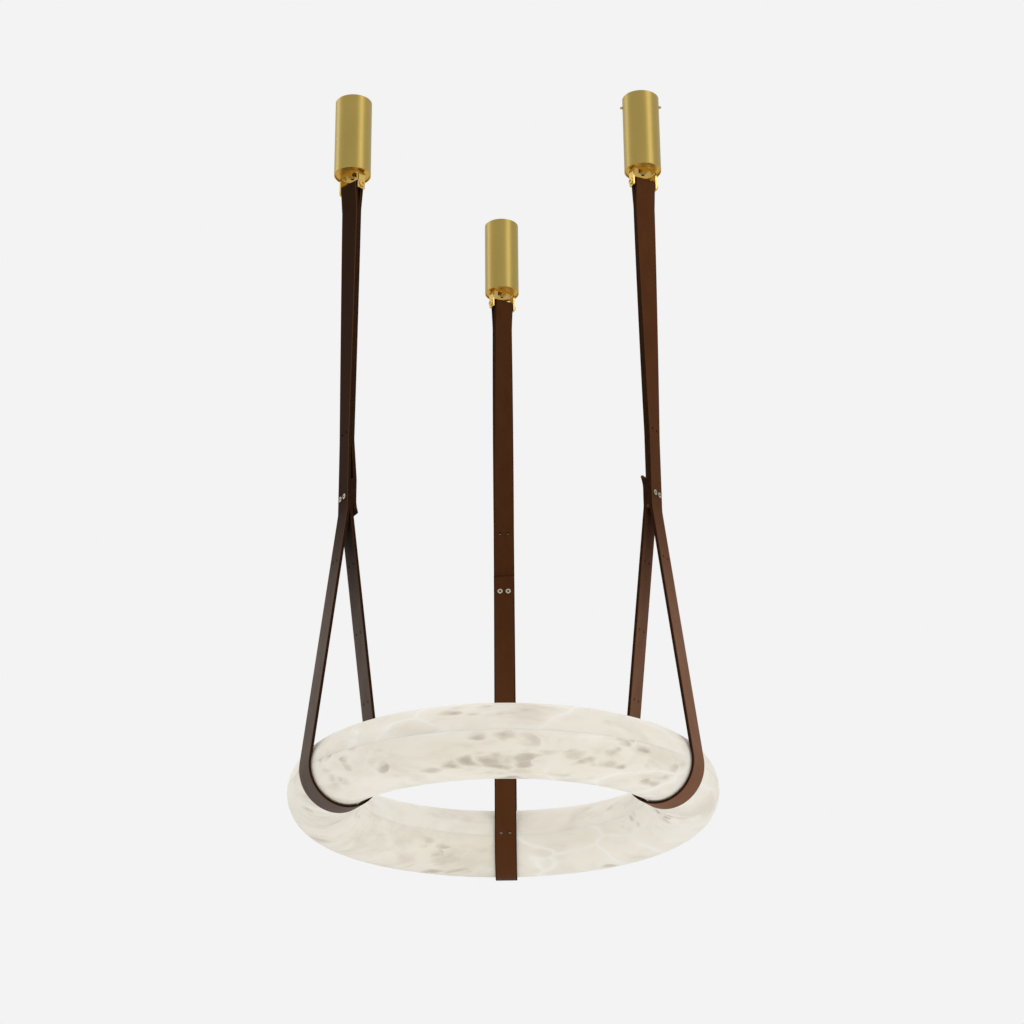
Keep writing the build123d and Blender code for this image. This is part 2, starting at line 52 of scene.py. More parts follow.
class Wire:
    """One socket of a material. Sums on it add Math nodes, and node() adds a node of any other kind."""

    def __init__(self, tree, socket=None):
        self.tree = tree
        self.socket = socket

    def node(self, kind, settings=(), inputs=(), output=0):
        """Add a node: its settings first, then the values or links of its sockets, by name or number."""
        made = self.tree.nodes.new("ShaderNode" + kind)
        for name, value in dict(settings).items():
            setattr(made, name, value)
        for name, value in dict(inputs).items():
            if isinstance(value, Wire):
                self.tree.links.new(value.socket, made.inputs[name])
            else:
                made.inputs[name].default_value = value
        return Wire(self.tree, made.outputs[output] if made.outputs else None)

    def maths(self, operation, *values):
        """Add a Math node that works on these values."""
        return self.node("Math", {"operation": operation}, dict(enumerate(values)))

    def __add__(self, other):
        return self.maths("ADD", self, other)

    def __radd__(self, other):
        return self.maths("ADD", other, self)

    def __sub__(self, other):
        return self.maths("SUBTRACT", self, other)

    def __rsub__(self, other):
        return self.maths("SUBTRACT", other, self)

    def __mul__(self, other):
        return self.maths("MULTIPLY", self, other)

    def __rmul__(self, other):
        return self.maths("MULTIPLY", other, self)

    def __abs__(self):
        return self.maths("ABSOLUTE", self)

    def step(self, low, high):
        """0 below low, 1 above high, and a smooth rise between."""
        limits = {"Value": self, "From Min": low, "From Max": high}
        return self.node("MapRange", {"interpolation_type": "SMOOTHSTEP"}, limits)

    def tint(self, first, second):
        """Colour that goes from first to second as this value goes from 0 to 1."""
        ends = [colour if isinstance(colour, Wire) else (*colour, 1.0) for colour in (first, second)]
        # A colour Mix node keeps its colour sockets at 6 and 7, and its colour result at 2
        return self.node("Mix", {"data_type": "RGBA"}, {0: self, 6: ends[0], 7: ends[1]}, 2)

    def axis(self, number):
        """One number of a place or a direction: 0 for X, 1 for Y, 2 for Z."""
        return self.node("SeparateXYZ", {}, {0: self}, number)

    def stretch(self, x, y, z):
        """The same place with each axis multiplied."""
        return self.node("VectorMath", {"operation": "MULTIPLY"}, {0: self, 1: (x, y, z)})

    def wander(self, scale, reach):
        """The same place, pushed about by a noise with scale lumps to the metre."""
        push = self.node("TexNoise", {}, {"Vector": self, "Scale": scale}, "Color")
        sockets = {0: push, 1: (reach, reach, reach), 2: self}
        return self.node("VectorMath", {"operation": "MULTIPLY_ADD"}, sockets)

    def noise(self, scale, detail=2.0, rough=0.5, swirl=0.0):
        """Cloudy value of about 0 to 1 round this place, with scale lumps to the metre."""
        sockets = {
            "Vector": self,
            "Scale": scale,
            "Detail": detail,
            "Roughness": rough,
            "Distortion": swirl,
        }
        return self.node("TexNoise", {}, sockets)


def start_material(name):
    """New material, with the place on the piece as its first wire."""
    material = bpy.data.materials.new(name)
    material.use_nodes = True
    material.node_tree.nodes.clear()
    place = Wire(material.node_tree).node("TexCoord", output="Object")
    return material, place


def end_material(place, height, depth, sockets):
    """Close a material: a bump, depth metres high, on a Principled surface with these sockets."""
    normal = place.node("Bump", {}, {"Strength": 1.0, "Distance": depth, "Height": height})
    surface = place.node("BsdfPrincipled", {}, {**sockets, "Normal": normal})
    place.node("OutputMaterial", {}, {"Surface": surface})


def coat(material, *nodes):
    """Give carried-over pieces a finish."""
    for node in nodes:
        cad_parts[node].material_slots[0].material = material


def turned_zinc():
    """Grey metal, stained in patches, with the rings of a lathe tool round it."""
    material, place = start_material("turned_zinc")
    dull = (0.40, 0.40, 0.41)
    bright = (0.55, 0.55, 0.56)
    ring_depth = 0.00006
    rings = place.stretch(1, 1, 6).noise(900, 3)
    stain = place.noise(70, 4)
    sockets = {
        "Base Color": stain.tint(dull, bright),
        "Metallic": 1.0,
        "Roughness": 0.35 + 0.25 * stain,
    }
    end_material(place, rings, ring_depth, sockets)
    return material


coat(turned_zinc(), *[f"{side}_ceiling_base" for side in hangers])


# Driver and terminal block: inside the right canister, out of sight.
# The driver is a potted case of pale moulded plastic, screwed up under the ceiling base.


def moulded_plastic(name, dark, pale):
    """Plastic with the fine pitted skin that a mould gives it."""
    material, place = start_material(name)
    pit_depth = 0.00005
    pits = place.noise(2200)
    tone = place.noise(45, 3)
    sockets = {"Base Color": tone.tint(dark, pale), "Roughness": 0.45 + 0.2 * pits}
    end_material(place, pits, pit_depth, sockets)
    return material


coat(moulded_plastic("driver_case", (0.70, 0.70, 0.68), (0.80, 0.80, 0.78)), "led_driver")
coat(moulded_plastic("terminal_nylon", (0.62, 0.62, 0.59), (0.74, 0.74, 0.71)), "terminal_block")


# Steel fittings: washers, pin clips, the driver's screws and two canisters' side screws, all zinc plated.
# The plating dulls in patches, and it is finely scratched.


def scratched_metal(name, dark, pale):
    """Metal that is duller in patches, with fine scratches round it."""
    material, place = start_material(name)
    scratch_depth = 0.00003
    patches = place.noise(260, 4)
    scratches = place.stretch(1, 1, 9).noise(1500)
    sockets = {
        "Base Color": patches.tint(dark, pale),
        "Metallic": 1.0,
        "Roughness": 0.22 + 0.22 * patches,
    }
    end_material(place, scratches, scratch_depth, sockets)
    return material


zinc_plate = scratched_metal("zinc_plate", (0.36, 0.35, 0.33), (0.56, 0.55, 0.53))
for side in hangers:
    coat(zinc_plate, f"{side}_nipple_washer", f"{side}_pin_clip")
    if side != "right":
        coat(zinc_plate, f"{side}_canopy_screws")
coat(zinc_plate, "driver_screws")


# Canisters: cups spun from brass sheet, with the floor set back inside the lower rim.
# The side is satin, rubbed lengthways, and what faces down is bright. Two side screws hold each on its
# ceiling base, and those of the right canister stand proud and are of the same brass.


def satin_brass():
    """Satin brass with a lengthways rub and dark specks, and deep bright gold where it faces down."""
    material, place = start_material("satin_brass")
    side_dark = (0.340, 0.245, 0.066)
    side_pale = (0.400, 0.295, 0.086)
    speck = (0.25, 0.16, 0.045)
    gold = (0.76, 0.48, 0.085)
    rub_depth = 0.00001
    floor = (0 - place.node("TexCoord", output="Normal").axis(2)).step(0.4, 0.9)
    rubbed = place.stretch(1, 1, 0.02).noise(1400, 3)
    cloud = place.stretch(1, 1, 0.5).noise(30, 3)
    specks = place.noise(500).step(0.66, 0.8)
    worn = (0.35 * specks).tint(cloud.tint(side_dark, side_pale), speck)
    sockets = {
        "Base Color": floor.tint(worn, gold),
        "Metallic": 1.0,
        "Roughness": 0.33 + 0.06 * cloud + 0.05 * rubbed - 0.05 * floor,
    }
    end_material(place, rubbed, rub_depth, sockets)
    return material


coat(satin_brass(), *[f"{side}_canopy" for side in hangers], "right_canopy_screws")


# Forks, pins, nipples and nuts: polished brass, the brightest metal on the light.
# Each fork is a strip bent to a U, clamped under its canister by a nut on the hollow nipple.


def polished_brass():
    """Bright brass with faint hairlines from the polishing wheel."""
    material, place = start_material("polished_brass")
    dark = (0.60, 0.40, 0.11)
    pale = (0.70, 0.50, 0.165)
    hairline_depth = 0.00003
    cloud = place.noise(120, 4)
    hairlines = place.stretch(1, 1, 14).noise(800, 3)
    sockets = {
        "Base Color": cloud.tint(dark, pale),
        "Metallic": 1.0,
        "Roughness": 0.20 + 0.10 * cloud,
    }
    end_material(place, hairlines, hairline_depth, sockets)
    return material


bright_brass = polished_brass()
for side in hangers:
    coat(bright_brass, *[f"{side}_{piece}" for piece in ("fork", "strap_pin", "nipple", "nipple_nuts")])


# Leather straps: one long strip of bridle leather for each hanger, waxed dark brown, its edges burnished.
# It is folded over the cross pin, doubled down to the splice and slung under the ring.
# Spare pairs of holes are punched along it, for another length.

# The strip
strap_width = 0.032
strap_thickness = 0.0045
edge_rounding = 0.0012
face_dressing = 0.0001
# Within this length of each cut end the face takes the dark edge colour: edge dye on the cut, and a painted
# shadow on the face.
end_dye_and_shadow = 0.0014
half_width = strap_width / 2
half_thickness = strap_thickness / 2

# The fold over the cross pin
pin_level = -0.148
pin_radius = 0.0035
loop_clearance = 0.0004
neck_length = 0.042
loop_radius = pin_radius + loop_clearance + half_thickness

# The sling under the ring
ring_radius = 0.251
ring_level = -1.054
tube_radius = 0.049
wrap_clearance = 0.0004
wrap_radius = tube_radius + wrap_clearance + half_thickness

# The room to tilt on the pin and on the tube
sway_limit = 4.0
crown_skim = 0.0001
skive_reach = 1.6
most_skived = strap_thickness / 4
tilt_flare = sin(radians(sway_limit))
ring_bend = half_width / 2 / (ring_radius - tube_radius)
ring_flare = hypot(tilt_flare, ring_bend)

# The splice
layer_gap = 0.0003
layer_pitch = strap_thickness + layer_gap
splice_height = 0.400
splice_flat = 0.022
splice_end = 0.026
curl_start = 0.013
curl_depth = 0.0034
layer_shift_length = 0.060
bend_radius = 0.060
splice_level = ring_level + splice_height

# The twist to the turn of the fork
fork_turns = {"left": 20.0, "right": -33.0, "rear": 30.0}
twist_start = 0.004
twist_margin = 0.008
twist_bottom = splice_level + splice_end + layer_shift_length + twist_start
twist_top = pin_level - neck_length - twist_margin

# The punched pairs
hole_pitch = 0.100
hole_spacing = 0.0126
hole_radius = 0.0021
post_hole_radius = 0.0026
outer_hole_rows = 1
inner_hole_rows = 4
first_inner_rows = {"left": 1, "right": 1, "rear": 2}
punch_length = 4 * layer_pitch
punch_sides = 24

# How finely the mesh is divided
straight_step = 0.006
arc_step = 0.003
pin_arc_step = 0.0012
arc_turn = 5.0
end_shares = (0.12, 0.35, 0.65, 1.0)
face_shares = (0, 0.25, 0.5, 0.72, 0.86)
edge_steps = 5


def tangent_angle(radius, away, side):
    """Angle round a circle where a line from a point outside it touches."""
    return atan2(away[1], away[0]) - side * acos(radius / hypot(*away))


def on_circle(centre, radius, angle):
    """Point at an angle round a circle."""
    return Vector((centre[0] + radius * cos(angle), centre[1] + radius * sin(angle)))


def arc_points(centre, radius, start, sweep, length=arc_step):
    """Points round an arc, at most length and arc_turn degrees apart."""
    count = max(2, ceil(abs(sweep) / radians(arc_turn)), ceil(abs(sweep) * radius / length))
    return [on_circle(centre, radius, start + sweep * step / count) for step in range(count + 1)]


def run_points(corners):
    """Points down a run with rounded corners."""
    corners = [Vector(corner) for corner in corners]
    points = [corners[0]]

    def straight_to(end):
        start = points[-1]
        count = max(1, ceil((end - start).length / straight_step))
        points.extend(start.lerp(end, step / count) for step in range(1, count + 1))

    for before, corner, after in zip(corners, corners[1:], corners[2:]):
        come = (corner - before).normalized()
        leave = (after - corner).normalized()
        bend = atan2(come.x * leave.y - come.y * leave.x, come.dot(leave))
        reach = bend_radius * abs(sin(bend / 2) / cos(bend / 2))
        straight_to(corner - come * reach)
        side = 1 if bend > 0 else -1
        centre = points[-1] + bend_radius * side * Vector((-come.y, come.x))
        first = points[-1] - centre
        points.extend(arc_points(centre, bend_radius, atan2(first.y, first.x), bend)[1:])
    straight_to(corners[-1])
    return points


def round_start(points):
    """The same points, with some more close to the first for the rounding of a cut end."""
    along = (points[1] - points[0]).normalized()
    extra = [points[0] + edge_rounding * share * along for share in end_shares]
    return [points[0], *extra, *points[1:]]


def strap_line(first_inner_row, tail_inside):
    """Middle line of a strap in its upright plane, from the upper tail to the lower end.

    With it come the punched pairs: where each is, which way it goes through and how wide its holes are.
    """
    pin_centre = Vector((0, pin_level))
    tube_centre = Vector((0, ring_level))
    outer_x = layer_pitch / 2
    middle_x = outer_x - layer_pitch
    inner_x = middle_x - layer_pitch
    end_x = middle_x if tail_inside else inner_x
    part_level = splice_level - splice_flat
    loop_start = tangent_angle(loop_radius, (middle_x, -neck_length), 1)
    loop_end = tangent_angle(loop_radius, (outer_x, -neck_length), -1)
    outer_touch = tangent_angle(wrap_radius, (outer_x, part_level - ring_level), 1)
    inner_touch = tangent_angle(wrap_radius, (end_x, part_level - ring_level), -1)

    below = splice_level - splice_end
    above = splice_level + splice_end
    inner = [on_circle(tube_centre, wrap_radius, inner_touch), (end_x, part_level)]
    if tail_inside:
        tail = [
            (inner_x - curl_depth, below),
            (inner_x, splice_level - curl_start),
            (inner_x, above),
            (middle_x, above + layer_shift_length),
        ]
        inner += [(middle_x, above)]
    else:
        tail = [(middle_x, below)]
        inner += [(inner_x, splice_level + curl_start), (inner_x - curl_depth, above)]
    tail += [(middle_x, pin_level - neck_length), on_circle(pin_centre, loop_radius, loop_start)]
    outer = [
        on_circle(pin_centre, loop_radius, loop_end),
        (outer_x, pin_level - neck_length),
        (outer_x, part_level),
        on_circle(tube_centre, wrap_radius, outer_touch),
    ]
    loop_sweep = loop_end - loop_start - 2 * pi
    wrap_sweep = inner_touch - outer_touch - 2 * pi
    line = run_points(tail)
    line += arc_points(pin_centre, loop_radius, loop_start, loop_sweep, pin_arc_step)[1:-1]
    line += run_points(outer)
    line += arc_points(tube_centre, wrap_radius, outer_touch, wrap_sweep)[1:-1]
    line += run_points(inner)
    line = round_start(line)
    line = round_start(line[::-1])[::-1]

    pairs = [
        (Vector((middle_x, splice_level)), Vector((1, 0)), post_hole_radius),
        (Vector((middle_x, splice_level + hole_pitch)), Vector((1, 0)), hole_radius),
    ]
    outer_rows = range(1, outer_hole_rows + 1)
    inner_rows = range(first_inner_row, inner_hole_rows + 1)
    for start_x, touch, rows in ((outer_x, outer_touch, outer_rows), (end_x, inner_touch, inner_rows)):
        start = Vector((start_x, part_level))
        end = on_circle(tube_centre, wrap_radius, touch)
        for row in rows:
            run = row * hole_pitch - splice_flat
            along = (end - start).normalized()
            point = start + run * along
            past = run - (end - start).length
            if past > 0:
                point = on_circle(tube_centre, wrap_radius, touch + past / wrap_radius)
                along = Vector((tube_centre.y - point.y, point.x - tube_centre.x)).normalized()
            pairs.append((point, Vector((along.y, -along.x)), hole_radius))
    return line, pairs


def strap_section():
    """Half of a strap's section, from the middle of one face round an edge to the middle of the other.

    Each point is how far it stands across the strap, and how far out from the middle line.
    """
    thick = half_thickness - face_dressing
    upper = [(half_width * share, thick) for share in face_shares]
    for step in range(edge_steps + 1):
        turn = radians(90 * step / edge_steps)
        across = half_width - edge_rounding + edge_rounding * sin(turn)
        upper.append((across, thick - edge_rounding + edge_rounding * cos(turn)))
    lower = [(across, -out) for across, out in reversed(upper)]
    return upper + lower


def skived(point, inward, across, out):
    """How far a face stands out from the middle line, thinned where the strap tilts on a pin or the tube."""
    rollers = (
        (Vector((0, pin_level)), pin_radius + loop_clearance, tilt_flare),
        (Vector((0, ring_level)), tube_radius + wrap_clearance, ring_flare),
    )
    for centre, radius, flare in rollers:
        reach = radius + crown_skim + abs(across) * flare
        surface = (point + inward * abs(out) - centre).length
        near = (point - centre).length
        if out < 0 and near < skive_reach * radius + strap_thickness and surface < reach:
            out = min(out + reach - surface, most_skived)
    return out


def twist_angle(height, turn):
    """How far a strap has turned at a height: evenly, up to the turn of the fork."""
    return turn * min(max((height - twist_bottom) / (twist_top - twist_bottom), 0.0), 1.0)


def twisted(spot, across, turn):
    """Place of a point of a strap after both its layers are twisted."""
    angle = twist_angle(spot.y, turn)
    x = spot.x * cos(angle) - across * sin(angle)
    return (x, spot.x * sin(angle) + across * cos(angle), spot.y)


def close_mesh(name, mesh):
    """Finish a mesh that is being built, and give it back as mesh data."""
    data = bpy.data.meshes.new(name)
    mesh.to_mesh(data)
    mesh.free()
    return data


def strap_mesh(name, line, turn):
    """Sweep the strap's section down its line. The tube and the pin lie on the inner side of the line.

    The map called strip holds, for every corner of a face, how far it is across and along the strip, but
    near each cut end it puts the face at the edge, for edge dye and a painted shadow.
    """
    half_section = strap_section()
    section = half_section + [(-across, out) for across, out in reversed(half_section[1:-1])]
    mesh = bmesh.new()
    strip = mesh.loops.layers.uv.new("strip")
    spots = {}
    rows = []
    run = 0.0
    for number, point in enumerate(line):
        before = line[max(number - 1, 0)]
        along = line[min(number + 1, len(line) - 1)] - before
        inward = Vector((along.y, -along.x)).normalized()
        run += (point - before).length
        to_end = min((point - line[0]).length, (point - line[-1]).length)
        rounding = edge_rounding - min(to_end, edge_rounding)
        shrink = edge_rounding - sqrt(edge_rounding**2 - rounding**2)
        row = []
        for across, out in section:
            kept = out * (1 - shrink / half_thickness)
            spot = point - inward * skived(point, inward, across, kept)
            row.append(mesh.verts.new(twisted(spot, across, turn)))
            # Near each cut end the face is mapped to the edge, for edge dye and a painted shadow.
            mapped = half_width if to_end < end_dye_and_shadow else across
            spots[row[-1]] = (mapped, run)
        rows.append(row)
    for first, second in zip(rows, rows[1:]):
        for number in range(len(section)):
            after = (number + 1) % len(section)
            mesh.faces.new((first[number], first[after], second[after], second[number]))
    mesh.faces.new(list(reversed(rows[0])))
    mesh.faces.new(rows[-1])
    for face in mesh.faces:
        for corner in face.loops:
            corner[strip].uv = spots[corner.vert]
    bmesh.ops.recalc_face_normals(mesh, faces=mesh.faces)
    return close_mesh(name, mesh)


def punch_mesh(name, pairs, turn):
    """Round pegs that punch the pairs of holes, square to the twisted strap."""
    mesh = bmesh.new()
    for point, normal, radius in pairs:
        for side in (-1, 1):
            spot = Vector((point.x, side * hole_spacing / 2, point.y))
            upright = Vector((normal.x, 0, normal.y)).to_track_quat("Z", "Y").to_matrix().to_4x4()
            twist = Matrix.Rotation(twist_angle(point.y, turn), 4, "Z")
            bmesh.ops.create_cone(
                mesh,
                cap_ends=True,
                segments=punch_sides,
                radius1=radius,
                radius2=radius,
                depth=punch_length,
                matrix=twist @ Matrix.Translation(spot) @ upright,
            )
    return close_mesh(name, mesh)


def place_piece(name, data):
    """Link a mesh into the scene as a piece."""
    piece = bpy.data.objects.new(name, data)
    bpy.context.scene.collection.objects.link(piece)
    return piece


def carve(piece, cutter):
    """Cut one piece by another, which is used up."""
    cut = piece.modifiers.new("cut", "BOOLEAN")
    cut.operation = "DIFFERENCE"
    cut.solver = "EXACT"
    cut.object = cutter
    bpy.context.view_layer.update()
    result = piece.evaluated_get(bpy.context.evaluated_depsgraph_get())
    carved = bpy.data.meshes.new_from_object(result)
    piece.modifiers.clear()
    plain = piece.data
    piece.data = carved
    carved.name = plain.name
    bpy.data.meshes.remove(plain)
    bpy.data.objects.remove(cutter)


def smooth(piece, sharpest):
    """Shade a piece smooth, but for edges of more than this many degrees."""
    piece.data.shade_smooth()
    piece.data.set_sharp_from_angle(angle=radians(sharpest))


def hanger_frame(side):
    """From a hanger's own axes (out, along the ring, up) to the room's."""
    angle = radians(hangers[side])
    return Matrix.Rotation(angle, 4, "Z") @ Matrix.Translation((ring_radius, 0, 0))


# How far across the strip its edge and its worn corner, partly painted light, begin and are full, and the
# heights between which a painted sheen turns it paler, towards the ring
burnished_edge = (half_width - 0.0009, half_width - 0.0002)
corner_wear_and_light = (half_width - 0.0024, half_width - 0.0010)
painted_sheen_heights = (ring_level + 0.154, ring_level + 0.414)


def waxed_leather(name, deep, pale, painted_sheen, corner):
    """Grained leather, clouded from deep to pale, with a painted sheen low down and worn corners partly
    painted light.
    """
    material, place = start_material(name)
    burnish_dark = (0.012, 0.0045, 0.0020)
    burnish_pale = (0.040, 0.0165, 0.0072)
    grain_depth = 0.00016
    strip = place.node("UVMap", {"uv_map": "strip"})
    across = abs(strip.axis(0))
    edge = across.step(*burnished_edge)
    # The corner band carries wear and painted light along the strap's edges.
    rubbed = across.step(*corner_wear_and_light)
    cloud = strip.stretch(1, 0.4, 1).noise(60, 4, 0.6)
    pebbles = strip.node("TexVoronoi", {"feature": "SMOOTH_F1"}, {"Vector": strip, "Scale": 1000.0})
    grain = strip.noise(650, 4, 0.6)
    pull = strip.stretch(1, 0.05, 1).noise(420, 3)
    # Painted sheen: low down the face turns to a paler colour towards the ring; the same band gets a thin
    # real coat too.
    lower = 1 - place.axis(2).step(*painted_sheen_heights)
    face = (lower * (0.55 + 0.45 * cloud)).tint(cloud.tint(deep, pale), painted_sheen)
    # Corner colour, wear and painted light: brighter than the face on the left and right straps, darker on
    # the rear one.
    worn = (rubbed * (0.35 + 0.65 * grain)).tint(face, corner)
    fibre = strip.stretch(1, 0.15, 1).noise(900, 3)
    sockets = {
        "Base Color": edge.tint(worn, fibre.tint(burnish_dark, burnish_pale)),
        "Roughness": 0.40 + 0.14 * cloud + 0.14 * grain + 0.06 * edge,
        "Specular IOR Level": 0.015,
        "Coat Weight": 0.14 * lower * (1 - edge) * cloud,
        "Coat Roughness": 0.45,
    }
    end_material(place, 0.6 * pebbles + 0.8 * grain + 0.5 * pull, grain_depth, sockets)
    return material


# Lit and shaded copies of one leather: the left strap's deep and pale tones are darker, as painted shade,
# and the right strap's are lighter, as painted light.
leathers_with_painted_light = {
    "left": {
        "deep": (0.020, 0.0080, 0.0032),
        "pale": (0.033, 0.0132, 0.0050),
        "painted_sheen": (0.150, 0.116, 0.098),
        "corner": (0.130, 0.060, 0.024),
    },
    "right": {
        "deep": (0.066, 0.0220, 0.0072),
        "pale": (0.104, 0.0360, 0.0120),
        "painted_sheen": (0.230, 0.112, 0.064),
        "corner": (0.085, 0.034, 0.013),
    },
    "rear": {
        "deep": (0.054, 0.0182, 0.0056),
        "pale": (0.084, 0.0295, 0.0092),
        "painted_sheen": (0.090, 0.0310, 0.0090),
        "corner": (0.026, 0.008, 0.003),
    },
}
for side in hangers:
    line, pairs = strap_line(first_inner_rows[side], tail_inside=side == "left")
    strap_turn = radians(fork_turns[side])
    strap = place_piece(f"leather_strap_{side}", strap_mesh(f"leather_strap_{side}", line, strap_turn))
    carve(strap, place_piece("punch", punch_mesh("punch", pairs, strap_turn)))
    smooth(strap, sharpest=35)
    strap.data.materials.clear()
    strap.data.materials.append(waxed_leather(f"waxed_leather_{side}", **leathers_with_painted_light[side]))
    strap.matrix_world = hanger_frame(side)
    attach(strap, f"{side}_strap_body")
    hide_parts(f"{side}_strap")


# Screw posts: two through each splice, with a round nickel plated head on both faces.
# A hexagon key turns each screw into its hollow post and clamps the three layers.

key_socket = (0.0015, 0.0021)
head_rim = (0.0032, 0.0042)


def nickel_heads(side):
    """Warm nickel, with painted shade in the key's socket and a painted shadow, with some tarnish, round the
    rim of each head.
    """
    material, place = start_material(f"nickel_heads_{side}")
    dull = (0.36, 0.32, 0.25)
    bright = (0.52, 0.47, 0.38)
    rim_tarnish_and_shadow = (0.10, 0.085, 0.065)
    painted_socket_shade = (0.020, 0.016, 0.013)
    patch_depth = 0.00004
    angle = radians(hangers[side])
    sideways = {0: place, 1: (-sin(angle), cos(angle), 0)}
    across = place.node("VectorMath", {"operation": "DOT_PRODUCT"}, sideways, "Value")
    gap = abs(across) - hole_spacing / 2
    rise = place.axis(2) - splice_level
    from_middle = place.maths("SQRT", gap * gap + rise * rise)
    # Painted shade fills the key's socket, and a painted shadow with some tarnish darkens the rim of each
    # head.
    socket = 1 - from_middle.step(*key_socket)
    rim = from_middle.step(*head_rim)
    patches = place.noise(260, 4)
    plate = patches.tint(dull, bright)
    edged = (0.55 * rim).tint(plate, rim_tarnish_and_shadow)
    sockets = {
        "Base Color": (0.92 * socket).tint(edged, painted_socket_shade),
        "Metallic": 1.0,
        "Roughness": 0.24 + 0.20 * patches,
    }
    end_material(place, patches, patch_depth, sockets)
    return material


for side in hangers:
    coat(nickel_heads(side), f"{side}_strap_posts", f"{side}_strap_screws")


# Light source: an LED strip with its chips in a rolled aluminium channel, closed up inside the ring.
# It can only be seen when the two halves of the ring are apart.

coat(scratched_metal("mill_aluminium", (0.62, 0.62, 0.63), (0.75, 0.75, 0.76)), "led_channel")
coat(moulded_plastic("white_board", (0.78, 0.78, 0.76), (0.86, 0.86, 0.84)), "led_strip")
coat(moulded_plastic("phosphor", (0.75, 0.58, 0.16), (0.85, 0.68, 0.24)), "led_chips")


# Ring: two half shells of alabaster, turned from the block, routed out inside and honed.
# They meet at the equator on a locating lip, and leave a fine V-groove inside and outside.

cavity_width = 0.070
cavity_height = 0.066
cavity_corner = 0.024
lip_height = 0.003
lip_width = 0.004
lip_clearance = 0.0002
seam_width = 0.0006
ring_steps = 256
tube_steps = 56
cavity_steps = 8


def half_profile(upper):
    """Closed outline of a half shell: how far out from the tube's centre line, and how far off the joint."""
    chamfer = seam_width / sqrt(2)
    start = chamfer / tube_radius
    outline = [(tube_radius - chamfer, 0.0)]
    for step in range(tube_steps + 1):
        turn = start + (pi - 2 * start) * step / tube_steps
        outline.append((tube_radius * cos(turn), tube_radius * sin(turn)))
    outline.append((-tube_radius + chamfer, 0.0))
    half = cavity_width / 2
    top = cavity_height / 2
    play = lip_clearance if upper else 0.0
    lip_reach = lip_height + lip_clearance if upper else -lip_height
    lip = [
        (half + lip_width + play, 0.0),
        (half + lip_width + play, lip_reach),
        (half - play, lip_reach),
        (half - play, 0.0),
    ]
    cavity = [(half, 0.0)] if upper else []
    for step in range(cavity_steps + 1):
        turn = radians(90 * step / cavity_steps)
        across = half - cavity_corner + cavity_corner * cos(turn)
        cavity.append((across, top - cavity_corner + cavity_corner * sin(turn)))
    inner_side = lip + cavity
    outline += [(-out, up) for out, up in inner_side]
    outline += list(reversed(inner_side))
    return outline


def lathe_mesh(name, outline, steps):
    """Turn a closed outline of (radius, height) round the Z axis."""
    mesh = bmesh.new()
    rows = []
    for step in range(steps):
        turn = 2 * pi * step / steps
        rows.append([mesh.verts.new((out * cos(turn), out * sin(turn), up)) for out, up in outline])
    for number, row in enumerate(rows):
        following = rows[(number + 1) % steps]
        for spot in range(len(outline)):
            after = (spot + 1) % len(outline)
            mesh.faces.new((row[spot], following[spot], following[after], row[after]))
    bmesh.ops.recalc_face_normals(mesh, faces=mesh.faces)
    return close_mesh(name, mesh)


# The middle of each herd of islands, and how far it reaches
herds = (
    ((0.05, -0.28, ring_level - 0.01), 0.24),
    ((-0.09, 0.25, ring_level - 0.03), 0.13),
)
herd_core = 0.2
bed_squeeze = (1, 2.0, 2.8)
island_scale = 27.0
crack_scale = 6.0
vein_reach = 0.030
halo_reach = 0.130


